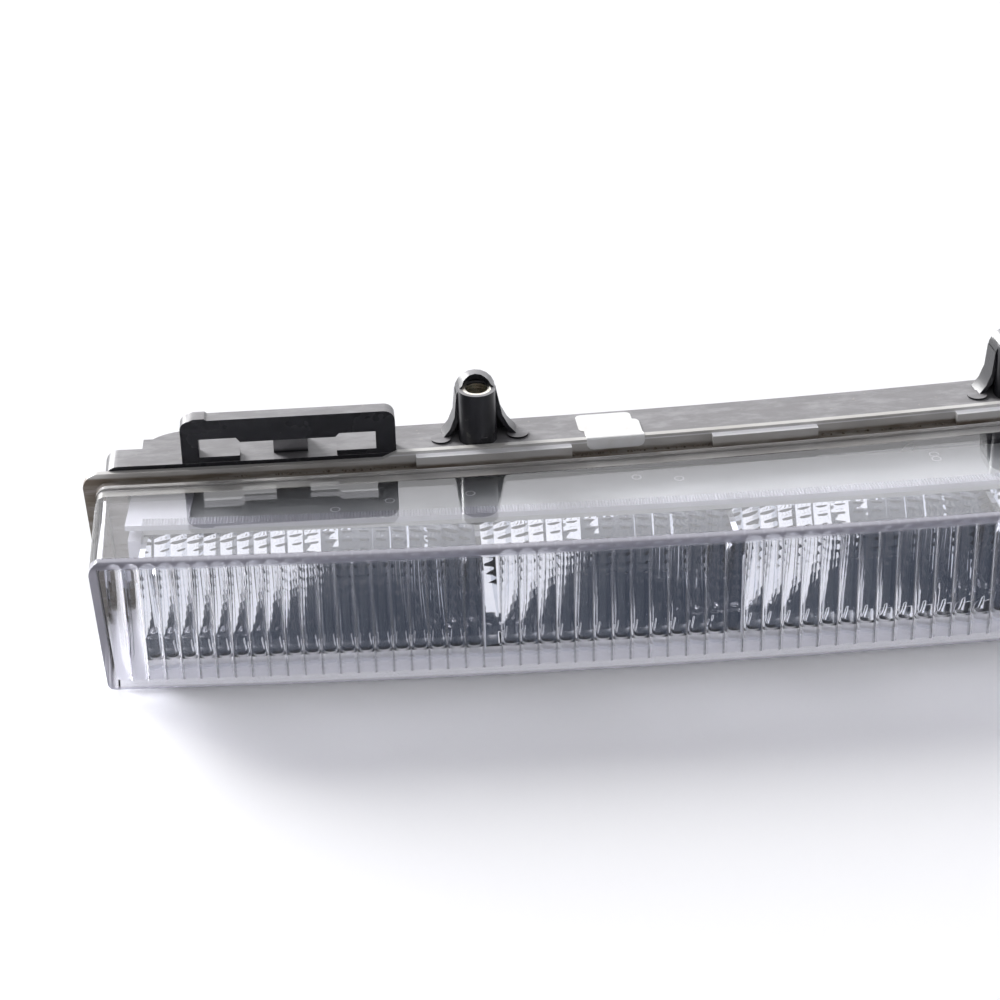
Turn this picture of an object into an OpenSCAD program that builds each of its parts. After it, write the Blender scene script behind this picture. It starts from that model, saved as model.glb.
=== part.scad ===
// Daytime running lamp for a car front: a long, bowed, clear-lensed light bar.
// Millimetres. X runs along the lamp, the lit face looks along -Y, Z is up.
// The origin is the centre of the left screw boss, at the top of its metal insert.
// Two curves carry everything: the lit face is a bow, and the flange is the same bow
// swung back by a few degrees, so the lamp gets deeper towards its right end.

/* [Lit face] */
// Radius of the bow of the lit face, seen from above
bow_r = 2012.5; // [1200:0.5:4000]
// Height of the lens box
lens_h = 36.6; // [34:0.1:44]
// Wall of the lens at the bottom of a flute groove
lens_wall = 2.5; // [2:0.1:4]
// Wall of the lens top, ends and floor
side_wall = 2.4; // [1.8:0.1:3]
// Lean of the lens ends: how much shorter each end is at the floor
end_draft = 1.7; // [0:0.1:4]
// Radius of the lens corners seen from the front
corner_r = 3; // [1:0.1:6]
// Rounding of the long front edges
edge_r = 2; // [0.5:0.1:2.2]

/* [Flutes] */
// Width of the first flute, at the left end
flute_w = 4.2; // [3:0.1:6]
// Growth of the flute width from one flute to the next, as a share
flute_growth = 0.0036; // [0:0.0002:0.006]
// Number of flutes on the lit face
flute_count = 66; // [66:1:66]
// How far each flute bulges inwards
flute_rise = 1.1; // [0.5:0.1:1.5]

/* [Flange] */
// Depth of the lens top from the lit face to the ridge, at the left end
lens_depth = 38.3; // [36:0.1:46]
// Swing of the flange against the lit face, in degrees
taper = 2.4; // [0:0.1:3]
// How far the flange stands out past each lens end
flange_out = 3.3; // [3:0.1:6]
// Top of the flange lip above the lens top, over the loop
lip_low = 2.4; // [1.5:0.1:3]
// Top of the flange lip above the lens top, right of the loop
lip_high = 4.2; // [3:0.1:5]
// How far the glued tongue stands in from the lens ends
tongue_in = 5.4; // [4.6:0.1:5.5]
// Thickness of the lip
lip_t = 1.6; // [1.2:0.1:2.5]

/* [Housing] */
// Top of the housing above the lens top
housing_up = 3.5; // [2.6:0.1:4]
// Depth of the housing behind the lip
housing_d = 14.5; // [13:0.1:20]
// Wall of the housing
housing_wall = 2.2; // [1.8:0.1:2.8]
// Length of the connector bulge on the back
bulge_w = 36; // [34:1:40]
// How far the connector bulge stands back
bulge_d = 5; // [4:0.5:8]

/* [Loop] */
// Width of the retaining loop
loop_w = 54.8; // [52:0.2:58]
// Height of the loop above the housing
loop_up = 11.9; // [11:0.1:16]
// Thickness of the loop
loop_t = 4.4; // [3:0.1:6]
// Place of the loop's centre along the lamp
loop_s = -111; // [-114:0.5:-108]

/* [Screw bosses] */
// Place of the left boss along the lamp
boss_left_s = -61; // [-66:0.5:-58]
// Place of the right boss along the lamp
boss_right_s = 85.4; // [80:0.2:92]
// Outer diameter of a boss
boss_d = 9.6; // [9:0.1:12]
// Height of a boss above the housing
boss_h = 14.2; // [12:0.1:20]
// Outer diameter of the metal insert
insert_d = 7.4; // [7:0.1:8]
// Bore of the metal insert
bore_d = 5.8; // [5:0.1:6.4]
// Length of the metal insert
insert_l = 12; // [10:0.5:13]

/* [Light unit] */
// Number of bowls in the reflector
chamber_count = 4; // [4:1:4]
// Flutes in front of one bowl
chamber_flutes = 14; // [14:1:14]
// Drop from the lens top to the underside of the circuit board
board_drop = 7.4; // [7:0.1:8]
// Thickness of the circuit board
board_t = 1.6; // [1.4:0.1:2]
// Width of the circuit board, front to back
board_w = 21; // [18:0.5:22]
// Thickness of the reflector shell
shell_t = 1.6; // [1.2:0.1:2]

/* [Hidden] */
$fn = 64;
DEG = 180 / PI;

// length along the lit face of groove i, measured from the middle of the lamp
face_len = flute_w * (flute_count + flute_growth * flute_count * flute_count / 2);
function groove(i) = flute_w * (i + flute_growth * i * i / 2) - face_len / 2;
half_top = face_len / 2 + 3.5;          // lens half length at the top
s_end = -(half_top + 0.1);              // where the flange swings from
ridge = lens_depth;                     // ridge depth, in the flange's own bow
lip_front = ridge + 3.9;
lip_back = lip_front + lip_t;
tongue_end = lip_back + 3.2;
channel_floor = tongue_end + 1.1;
housing_back = lip_back + housing_d;
housing_top = lens_h + housing_up;
in_top = lens_h - side_wall;
boss_back = lip_back + 5.1;             // boss axis, in the flange's bow
ring_z = housing_top + boss_h;
board_z = lens_h - board_drop;          // underside of the circuit board
focus_d = lens_depth - 8.3;             // depth of the LEDs
focus_z = board_z;
bowl_low = 4.2;                         // foot of the bowls
bowl_run = focus_d - 8.9;               // depth from the foot of the bowls to the LEDs
bowl_fall = board_z - bowl_low;
focal = (sqrt(bowl_run * bowl_run + bowl_fall * bowl_fall) - bowl_run) / 2;   // focal length of the bowls
screw_d = focus_d + focal + 5;          // depth of the board screws
first_groove = 7;                       // groove where the first full bowl starts
unit_l = groove(0) + 6.4;               // left end of the reflector
unit_r = face_len / 2 - 5.6;            // right end of the reflector
function cut_s(c) = c == 0 ? unit_l : c == chamber_count ? unit_r : groove(first_groove + c * chamber_flutes);
function led_s(c) = groove(first_groove + (c - 0.5) * chamber_flutes);
post_s = [-92, -31, 35, 112];
post_z = 18;
screw_s = [-130, -62, 5, 72, 138];
pillar_h = 4;
bulge_s = -120;                         // centre of the connector bulge
bulge_foot = 1.5;
hood_r = boss_d / 2 + 0.5;               // half width of the boss hood near its top
hood_back = 6.4;                        // how far the hood reaches behind the boss axis
bulge_high = housing_top - 2;
socket_z = 21;
socket_w = 22;
socket_h = 12;
vent_s = 60;
vent_z = 20;

// point on the lit face's bow: s along it, d behind it
function face_pt(s, d) = [(bow_r - d) * sin(s / bow_r * DEG), bow_r - (bow_r - d) * cos(s / bow_r * DEG)];
function turn(v, a) = [v.x * cos(a) - v.y * sin(a), v.x * sin(a) + v.y * cos(a)];
pivot = face_pt(s_end, ridge);
function back_pt(s, d) = pivot + turn(face_pt(s, d) - pivot, taper);
home = back_pt(boss_left_s, boss_back);

// puts the finished part with the left boss at the origin
module row() translate([-home.x, -home.y, -ring_z]) children();
module swing() translate([pivot.x, pivot.y, 0]) rotate([0, 0, taper]) translate([-pivot.x, -pivot.y, 0]) children();
// a place on the bow: local X along the lamp, local Y into it
module at_face(s, d) translate([face_pt(s, d).x, face_pt(s, d).y, 0]) rotate([0, 0, s / bow_r * DEG]) children();
module at_back(s, d) swing() at_face(s, d) children();
// a (depth, height) section swept along the bow from s0 to s1
module face_bar(s0, s1) translate([0, bow_r, 0]) rotate([0, 0, -90 + s0 / bow_r * DEG])
  rotate_extrude(angle = (s1 - s0) / bow_r * DEG, $fn = 1440) translate([bow_r, 0]) mirror([1, 0]) children();
module back_bar(s0, s1) swing() face_bar(s0, s1) children();
module sect(d0, d1, z0, z1) translate([d0, z0]) square([d1 - d0, z1 - z0]);
// a front outline pushed straight through the lamp
module through() translate([0, 140, 0]) rotate([90, 0, 0]) linear_extrude(200) children();
function arc(c, r, a0, a1, n = 6) = [for (k = [0:n]) c + r * [cos(a0 + (a1 - a0) * k / n), sin(a0 + (a1 - a0) * k / n)]];
// front outline of the lens grown by g at the ends, gt at the top and gb at the floor
module outline(g, gt, gb, r = corner_r) polygon(concat(
  arc([half_top + g - r, lens_h + gt - r], r, 0, 90),
  arc([-half_top - g + r, lens_h + gt - r], r, 90, 180),
  arc([-half_top - g + r + end_draft, r - gb], r, 180, 270),
  arc([half_top + g - r - end_draft, r - gb], r, 270, 360)));
// slab of the flange's bow between two depths, inside a front outline
module slab(d0, d1) intersection() {
  back_bar(-190, 190) sect(d0, d1, -10, 70);
  through() children();
}

// Clear lens: fluted front, smooth top, floor and ends, groove and lip round the back
module lip_outline() difference() {
  outline(flange_out, lip_high, 0, 4.5);
  polygon([[-200, lens_h + lip_low], [loop_s + 26, lens_h + lip_low], [loop_s + 30, lens_h + lip_high + 0.01],
    [loop_s + 30, 60], [-200, 60]]);
  intersection() {
    translate([-200, 0]) square([200 - half_top - flange_out + 4.5, 60]);
    difference() {
      translate([-200, lens_h + lip_low - 4.5]) square([200 - half_top - flange_out + 4.5, 6]);
      translate([-half_top - flange_out + 4.5, lens_h + lip_low - 4.5]) circle(4.5);
    }
  }
}
module lens_skin() intersection() {
  face_bar(-185, 185) polygon(concat(
    arc([edge_r, lens_h - edge_r], edge_r, 180, 90, 5), [[90, lens_h]], [[90, 0]], arc([edge_r, edge_r], edge_r, 270, 180, 5)));
  through() outline(0, 0, 0);
  back_bar(-190, 190) sect(-80, lip_back, -10, 70);
}
module flutes() for (i = [0:flute_count - 1]) {
  w = groove(i + 1) - groove(i);
  r = (w * w / 4 + flute_rise * flute_rise) / (2 * flute_rise);
  at_face((groove(i) + groove(i + 1)) / 2, lens_wall + flute_rise - r) translate([0, 0, side_wall - 1]) cylinder(h = in_top - side_wall + 2, r = r);
}
module lens_hollow() difference() {
  intersection() {
    face_bar(-185, 185) sect(lens_wall, 110, side_wall, in_top);
    through() outline(-side_wall, -side_wall, -side_wall, 1);
  }
  flutes();
}
module outer_lens() color([0.86, 0.88, 0.92, 0.45]) row() {
  difference() {
    union() {
      lens_skin();
      slab(ridge - 0.5, ridge + 0.7) outline(-0.4, 0.7, 0);
      slab(lip_front, lip_back) lip_outline();
    }
    lens_hollow();
  }
  // step in the floor and ends, and tongue that sits in the glue channel
  difference() {
    union() {
      slab(lip_front, lip_back) outline(-0.6, -0.6, -1, 2);
      slab(lip_front, tongue_end) outline(-tongue_in, -0.6, -3.2, 2);
    }
    slab(ridge - 10, tongue_end + 1) outline(-tongue_in - 2.3, -side_wall, -5, 1);
  }
  // raised pads along the lip
  for (p = [[-78, -37], [0.6, 29], [67.2, 95], [112, 140]])
    back_bar(p[0], p[1]) sect(ridge + 2, lip_front + 0.2, lens_h - 1, lens_h + lip_high - 0.9);
}

// Black housing: closed box behind the lens, glue channel, connector bulge, loop and bosses
module housing_outline(g = 0) outline(2.9 - tongue_in - g, housing_up - g, -g, 3.5);
module left_cut() at_back(-150, 0) translate([-60, lip_back + 9.4, -10]) cube([60, 40, 80]);
module bulge_body() intersection() {
  at_back(bulge_s, housing_back + bulge_d - 12) translate([0, 0, bulge_foot]) {
    translate([-bulge_w / 2, -4, 0]) cube([bulge_w, 16, bulge_high]);
    for (x = [-bulge_w / 2, bulge_w / 2]) translate([x, 0, 0]) cylinder(h = bulge_high, r = 12);
  }
  back_bar(-185, 0) sect(housing_back - 1.4, housing_back + bulge_d + 5, 0, housing_top);
}
module loop_plate() at_back(loop_s, lip_back + 0.3) translate([0, loop_t, 0]) rotate([90, 0, 0]) linear_extrude(loop_t) difference() {
  polygon(concat([[-loop_w / 2, housing_top - 1.8]], [[loop_w / 2, housing_top - 1.8]],
    arc([loop_w / 2 - 2.8, housing_top + loop_up - 2.8], 2.8, 0, 90), [[-loop_w / 2 + 7, housing_top + loop_up]],
    [[-loop_w / 2 + 6.4, housing_top + loop_up + 0.5]], [[-loop_w / 2 + 3.6, housing_top + loop_up + 0.5]],
    arc([-loop_w / 2 + 2.6, housing_top + loop_up - 2.6], 2.6, 95, 180)));
  polygon([[-22.9, housing_top + 1.5], [-12.6, housing_top + 1.5], [-12.6, housing_top - 3], [12.2, housing_top - 3],
    [12.2, housing_top + 1.4], [22.3, housing_top + 1.4], [22.3, housing_top + 6.3], [13, housing_top + 6.3],
    [12, housing_top + 5.3], [-12.3, housing_top + 5.3], [-13.3, housing_top + 6.6], [-22.9, housing_top + 6.6]]);
}
module boss_silhouette(g) polygon(concat(
  [[-9.3 + g, -1], [-9.1 + g, 0.2], [-7.2 + g, 2.6], [-5.9 + g, 6], [-hood_r + g, boss_h - 2]],
  arc([0, boss_h + 2.4 - hood_r], hood_r - g, 180, 0, 10),
  [[hood_r - g, boss_h - 2], [6.5 - g, 6], [8.2 - g, 2.6], [10.3 - g, 0.2], [10.5 - g, -1]]));
module boss(s) at_back(s, boss_back) translate([0, 0, housing_top]) {
  difference() {
    union() {
      translate([0, 0, -1]) cylinder(h = boss_h + 1, r1 = boss_d / 2 + 0.2, r2 = boss_d / 2);
      // hood: a thin wall behind and beside the boss, flaring to its foot
      difference() {
        translate([0, hood_back, 0]) rotate([90, 0, 0]) linear_extrude(hood_back - 0.4) boss_silhouette(0);
        translate([0, hood_back - 1.3, 0]) rotate([90, 0, 0]) linear_extrude(hood_back) difference() {
          boss_silhouette(1.3);
          translate([-20, -2]) square([40, 1.9]);
        }
      }
      translate([0.6, -boss_d / 2 - 0.25, -1]) cube([1.4, 2, 3.4]);
      translate([-9.6, 0.2, -1]) cylinder(h = 1.5, r = 2.6);
      translate([10.4, 0.6, -1]) cylinder(h = 1.5, r = 2.8);
    }
    translate([0, 0, boss_h - insert_l]) cylinder(h = insert_l + 5, d = insert_d);
  }
}
module socket_void() at_back(bulge_s, housing_back + bulge_d) translate([-socket_w / 2, -13, socket_z - socket_h / 2]) cube([socket_w, 14, socket_h]);
module housing_inner() {
  slab(lip_front, housing_back - housing_wall) housing_outline(housing_wall);
}
module posts() for (s = post_s) at_back(s, ridge + 4) translate([0, 0, post_z]) rotate([-90, 0, 0]) cylinder(h = housing_back - ridge - 4.5, r = 3.6);
module housing() color([0.09, 0.09, 0.1]) row() difference() {
  union() {
    difference() {
      union() {
        slab(lip_back, housing_back) housing_outline();
        slab(lip_back, lip_back + 1.8) outline(flange_out - 0.7, 1.4, 0, 4);
        bulge_body();
      }
      left_cut();
      difference() {
        slab(lip_front, housing_back - housing_wall) housing_outline(housing_wall);
        at_back(-150 + housing_wall, 0) translate([-60, lip_back + 9.4 - housing_wall, -10]) cube([60, 40, 80]);
      }
    }
    // inner wall and floor of the glue channel
    difference() {
      slab(lip_back + 0.7, channel_floor + 1.4) outline(-tongue_in - 2.9, -3.1, -6.2, 1);
      slab(lip_back, channel_floor + 2) outline(-tongue_in - 4.6, -5.2, -7.8, 1);
    }
    difference() {
      slab(channel_floor, channel_floor + 1.4) housing_outline(0.5);
      slab(lip_back, channel_floor + 2) outline(-tongue_in - 3.8, -4, -7, 1);
    }
    // walls of the connector socket inside the box
    at_back(bulge_s, housing_back + bulge_d) translate([-socket_w / 2 - 2, -15, socket_z - socket_h / 2 - 2]) cube([socket_w + 4, 14.9, socket_h + 4]);
    posts();
    loop_plate();
    // gusset behind the middle of the loop
    at_back(loop_s + 0.4, lip_back + loop_t - 0.9) translate([-4.4, 0, housing_top]) rotate([90, 0, 90]) linear_extrude(8.8)
      polygon([[0, -1], [0, loop_up - 2.4], [2.2, loop_up - 2.4], [7.4, 1.2], [7.4, -1]]);
    boss(boss_left_s);
    boss(boss_right_s);
    // collar for the vent
    at_back(vent_s, housing_back) translate([0, -1, vent_z]) rotate([-90, 0, 0]) cylinder(h = 3, r = 5);
  }
  socket_void();
  for (s = post_s) at_back(s, ridge + 3) translate([0, 0, post_z]) rotate([-90, 0, 0]) cylinder(h = 40, r = 1.3);
  for (s = post_s) at_back(s, housing_back - 1.6) translate([0, 0, post_z]) rotate([-90, 0, 0]) cylinder(h = 10, r = 2.9);
  at_back(vent_s, housing_back - 6) translate([0, 0, vent_z]) rotate([-90, 0, 0]) cylinder(h = 20, r = 2.5);
  // slots the three contacts pass through
  for (k = [-1:1]) at_back(bulge_s + k * 5, housing_back + bulge_d - 20) translate([-0.5, 0, socket_z - 1]) cube([1, 10, 2]);
}

// Sealant between the lens tongue and the floor of the channel
module lens_glue() color([0.16, 0.15, 0.14]) row() difference() {
  slab(tongue_end, channel_floor) housing_outline(housing_wall);
  slab(tongue_end - 1, channel_floor + 1) outline(-tongue_in - 2.9, -3.1, -6.2, 1);
}

// Metallised reflector: four bowls in one moulding
function para(z) = focus_d + focal - pow(focus_z - z, 2) / (4 * focal);
facets = 9;                             // facets from the board to the foot of a bowl
function facet_z(k) = focus_z + (bowl_low - focus_z) * k / facets;
// front of the bowl at facet corner k, brought forward by out
function bowl_pt(k, out) = [para(facet_z(k)) - out, facet_z(k)];
module bowl_section(t) polygon(concat(
  [for (k = [0:facets]) bowl_pt(k, 0)],
  [for (k = [facets:-1:0]) [para(facet_z(k)) + t * 1.15, facet_z(k) - t * (k / facets) * 0.75]]));
module bowl_end() polygon(concat(
  [[5.6, 7], [5.6, board_z - 0.3], [focus_d + focal + 0.7, board_z - 0.3]],
  [for (k = [0:facets]) [para(facet_z(k)) + 0.7, facet_z(k) - (k == 0 ? 0.8 : k == facets ? 0.6 : 0)]],
  [[8.6, bowl_low - 0.6]]));
// everything in front of the middle of the shell
module bowl_front() polygon(concat([[-9, -9], [-9, 60], [focus_d + focal + 0.9, 60]],
  [for (k = [0:facets]) [para(facet_z(k)) + 0.9, facet_z(k)]], [[para(bowl_low) + 0.9, -9]]));
module reflector() color([0.78, 0.8, 0.84]) row() difference() {
  union() {
    face_bar(unit_l, unit_r) bowl_section(shell_t);
    face_bar(unit_l, unit_r) sect(8, 10.4, 2.6, 5.2);
    face_bar(unit_l, unit_r) sect(focus_d + focal + 0.5, focus_d + focal + 8, board_z - 1.4, board_z);
    // end walls and the three walls between the bowls
    for (c = [0:chamber_count]) {
      s0 = cut_s(c) - (c == 0 ? -0.3 : c == chamber_count ? 1.7 : 0.7);
      face_bar(s0, s0 + 1.4) bowl_end();
    }
    // bosses on the back for the screws that hold the unit, and pillars under the board screws
    difference() {
      for (s = post_s) at_back(s, ridge + 4) translate([0, 0, post_z]) rotate([90, 0, 0]) cylinder(h = 20, r = 3.2);
      face_bar(unit_l - 5, unit_r + 5) bowl_front();
    }
    for (s = screw_s) at_face(s, screw_d) translate([0, 0, board_z - pillar_h]) cylinder(h = pillar_h - 0.5, r = 2.4);
  }
  for (s = post_s) at_back(s, ridge - 3) translate([0, 0, post_z]) rotate([-90, 0, 0]) cylinder(h = 9, r = 1.3);
  for (s = screw_s) at_face(s, screw_d) translate([0, 0, board_z - pillar_h - 1]) cylinder(h = pillar_h + 2, r = 1);
}

// Grained trim strip over the front edge of the board, with the closing panel at the left end
module inner_bezel() color([0.72, 0.73, 0.76]) row() {
  face_bar(unit_l - 4, unit_r) sect(focus_d - 5.6, focus_d - 2.2, board_z + board_t, board_z + board_t + 1.4);
  face_bar(unit_l - 4, unit_l + 12) sect(focus_d - 5.6, focus_d + 12, board_z + board_t, board_z + board_t + 1.4);
}

// Black clip that holds the unit at its left end
module end_clip() color([0.1, 0.1, 0.12]) row() at_face(unit_l, 22) {
  translate([-3.2, 0, 20]) cube([3.2, 8, board_z - 20]);
  translate([-1.2, 8, 20]) cube([1.2, 6, 5]);
}

// Circuit board
module led_board() color([0.82, 0.84, 0.78]) row() difference() {
  face_bar(unit_l + 0.4, unit_r - 0.4) sect(focus_d - 5, focus_d - 5 + board_w, board_z, board_z + board_t);
  for (s = screw_s) at_face(s, screw_d) translate([0, 0, board_z - 1]) cylinder(h = 1 + board_t - 0.4, r = 0.9);
}

// LED packages under the board, one over each bowl, and their clear domes
module led(c) color([0.93, 0.9, 0.72]) row() at_face(led_s(c), focus_d) translate([-2, -1.75, board_z - 0.8]) cube([4, 3.5, 0.8]);
module led_1() led(1);
module led_2() led(2);
module led_3() led(3);
module led_4() led(4);
module led_domes() color([0.95, 0.93, 0.8, 0.7]) row() for (c = [1:chamber_count]) at_face(led_s(c), focus_d) intersection() {
  translate([0, 0, board_z - 0.4]) sphere(r = 1.4);
  translate([-2, -2, board_z - 3]) cube([4, 4, 2.2]);
}

// Two driver chips and small parts, all under the back of the board
module driver_chips() color([0.1, 0.1, 0.11]) row() for (s = [-45, 40]) at_face(s, focus_d + focal + 3.4) translate([-3, 5.4, board_z - 1.5]) cube([6, 4.4, 1.5]);
module board_parts() color([0.55, 0.45, 0.35]) row() for (k = [0:11])
  at_face(-86 + k * 17, focus_d + focal + 9) translate([-1.6, 0, board_z - 0.9]) cube([3.2, 1.6, 0.9]);

// Socket header on the board, with the contacts pushed into it
module board_header() color([0.88, 0.87, 0.83]) row() difference() {
  at_back(bulge_s, housing_back + bulge_d - 20.6) translate([-8, 0, socket_z - 3.5]) cube([16, 5.3, board_z - socket_z + 3.5]);
  for (k = [-1:1]) at_back(bulge_s + k * 5, housing_back + bulge_d - 19) translate([-0.4, 0, socket_z - 0.9]) cube([0.8, 10, 1.8]);
}
module board_screws() color([0.7, 0.7, 0.72]) row() for (s = screw_s) at_face(s, screw_d) {
  translate([0, 0, board_z - pillar_h - 1.4]) cylinder(h = 1.4, r = 2);
  translate([0, 0, board_z - pillar_h]) cylinder(h = pillar_h + board_t - 0.4, r = 0.9);
}
module unit_screws() color([0.7, 0.7, 0.72]) row() for (s = post_s) at_back(s, ridge - 1) translate([0, 0, post_z]) rotate([-90, 0, 0]) {
  cylinder(h = housing_back - 1.6 - ridge + 1, r = 1.3);
  translate([0, 0, housing_back - 1.6 - ridge + 1]) cylinder(h = 1.5, r = 2.6);
}
module contact_pins() color([0.8, 0.68, 0.35]) row() for (k = [-1:1])
  at_back(bulge_s + k * 5, housing_back + bulge_d - 19) translate([-0.4, 0, socket_z - 0.9]) cube([0.8, 15, 1.8]);
// Rubber seal round the mouth of the socket
module connector_seal() color([0.75, 0.3, 0.12]) row() difference() {
  at_back(bulge_s, housing_back + bulge_d - 13) translate([-socket_w / 2 + 0.02, 0, socket_z - socket_h / 2 + 0.02]) cube([socket_w - 0.04, 1.4, socket_h - 0.04]);
  at_back(bulge_s, housing_back + bulge_d - 14) translate([-socket_w / 2 + 1.6, 0, socket_z - socket_h / 2 + 1.6]) cube([socket_w - 3.2, 4, socket_h - 3.2]);
}

// Vent on the back
module vent_cap() color([0.13, 0.13, 0.14]) row() difference() {
  at_back(vent_s, housing_back + 0.03) translate([0, 0, vent_z]) rotate([-90, 0, 0]) cylinder(h = 4.6, r = 7);
  at_back(vent_s, housing_back - 1) translate([0, 0, vent_z]) rotate([-90, 0, 0]) cylinder(h = 4.2, r = 5);
  for (a = [0:45:315]) at_back(vent_s, housing_back) translate([0, 0.8, vent_z]) rotate([0, a, 0]) translate([4, 0, -0.7]) cube([5, 1.2, 1.4]);
}
module vent_membrane() color([0.9, 0.9, 0.88]) row() at_back(vent_s, housing_back + 2) translate([0, 0, vent_z]) rotate([-90, 0, 0]) cylinder(h = 0.5, r = 4.4);

// Metal inserts in the two bosses
module insert(s) color([0.78, 0.76, 0.7]) row() at_back(s, boss_back) translate([0, 0, ring_z - insert_l]) difference() {
  cylinder(h = insert_l, d = insert_d);
  translate([0, 0, 1]) cylinder(h = insert_l, d = bore_d);
}
module insert_left() insert(boss_left_s);
module insert_right() insert(boss_right_s);

// Two stickers, one over the other, on the housing top
module label_lower() color([0.96, 0.96, 0.95]) row() at_back(-26.2, lip_back) translate([0, 0, housing_top]) linear_extrude(0.12)
  polygon(concat(arc([5.8, 11.6], 1.6, 0, 90), arc([-5.8, 11.6], 1.6, 90, 180), arc([-5.8, 2.2], 1.6, 180, 270), arc([5.8, 2.2], 1.6, 270, 360)));
module label_upper() color([0.97, 0.97, 0.96]) row() at_back(-24.6, lip_back) translate([0, 0, housing_top + 0.12]) linear_extrude(0.12)
  polygon(concat(arc([6, 7.2], 1.4, 0, 90), arc([-6, 7.2], 1.4, 90, 180), arc([-6, 1.8], 1.4, 180, 270), arc([6, 1.8], 1.4, 270, 360)));

outer_lens();
housing();
lens_glue();
reflector();
inner_bezel();
end_clip();
led_board();
led_1();
led_2();
led_3();
led_4();
led_domes();
driver_chips();
board_parts();
board_header();
board_screws();
unit_screws();
contact_pins();
connector_seal();
vent_cap();
vent_membrane();
insert_left();
insert_right();
label_lower();
label_upper();
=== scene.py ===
"""Daytime running lamp: a clear fluted light bar on a black housing, dressed for looks."""
import math

import bmesh
import bpy
import numpy as np
from mathutils import Matrix, Vector


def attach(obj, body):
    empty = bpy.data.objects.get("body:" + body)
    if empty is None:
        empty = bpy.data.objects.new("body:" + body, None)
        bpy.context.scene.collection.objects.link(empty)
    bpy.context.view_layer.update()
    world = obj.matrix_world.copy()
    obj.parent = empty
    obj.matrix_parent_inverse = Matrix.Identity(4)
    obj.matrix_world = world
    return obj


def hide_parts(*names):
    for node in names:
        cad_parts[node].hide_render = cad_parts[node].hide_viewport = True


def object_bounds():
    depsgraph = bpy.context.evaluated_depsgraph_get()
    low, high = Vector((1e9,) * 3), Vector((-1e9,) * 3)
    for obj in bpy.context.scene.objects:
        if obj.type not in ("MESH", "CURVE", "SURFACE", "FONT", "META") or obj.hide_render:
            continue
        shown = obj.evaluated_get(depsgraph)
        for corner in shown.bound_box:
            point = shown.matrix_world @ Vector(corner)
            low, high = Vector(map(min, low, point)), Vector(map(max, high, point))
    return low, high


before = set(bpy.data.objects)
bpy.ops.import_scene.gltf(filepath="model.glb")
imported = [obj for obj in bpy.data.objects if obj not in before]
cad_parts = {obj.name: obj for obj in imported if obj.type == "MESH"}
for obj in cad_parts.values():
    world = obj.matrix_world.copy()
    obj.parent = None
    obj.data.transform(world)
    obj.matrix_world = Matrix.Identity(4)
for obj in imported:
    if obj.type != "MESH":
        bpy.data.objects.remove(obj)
cad_box = [list(corner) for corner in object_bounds()]

# Table, light and camera
# The lamp stands on a white table in a room that is bright behind, above and right, and slate in
# front. One broad lamp stands behind it on the left, so that its shadow falls forward to the right.
rest_z = cad_box[0][2]
table_half = 3.0
table_lift = 0.08
lamp_toward = (-0.58, 0.74, 0.4)
lamp_spread = 26.0
lamp_strength = 6.2
bpy.context.scene.view_settings.view_transform = "Standard"


class Wire:
    """A shader socket that takes part in arithmetic: each operator adds its Math node."""

    def __init__(self, finish, socket):
        self.finish = finish
        self.socket = socket

    def math(self, operation, *values):
        return self.finish.math(operation, *values)

    def __add__(self, other):
        return self.math("ADD", self, other)

    def __radd__(self, other):
        return self.math("ADD", other, self)

    def __sub__(self, other):
        return self.math("SUBTRACT", self, other)

    def __rsub__(self, other):
        return self.math("SUBTRACT", other, self)

    def __mul__(self, other):
        return self.math("MULTIPLY", self, other)

    def __rmul__(self, other):
        return self.math("MULTIPLY", other, self)

    def __truediv__(self, other):
        return self.math("DIVIDE", self, other)

    def above(self, low, high):
        """0 under low, 1 over high, smooth between."""
        return self.finish.node("ShaderNodeMapRange", {"interpolation_type": "SMOOTHSTEP"},
                                {"Value": self, "From Min": low, "From Max": high})


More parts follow.
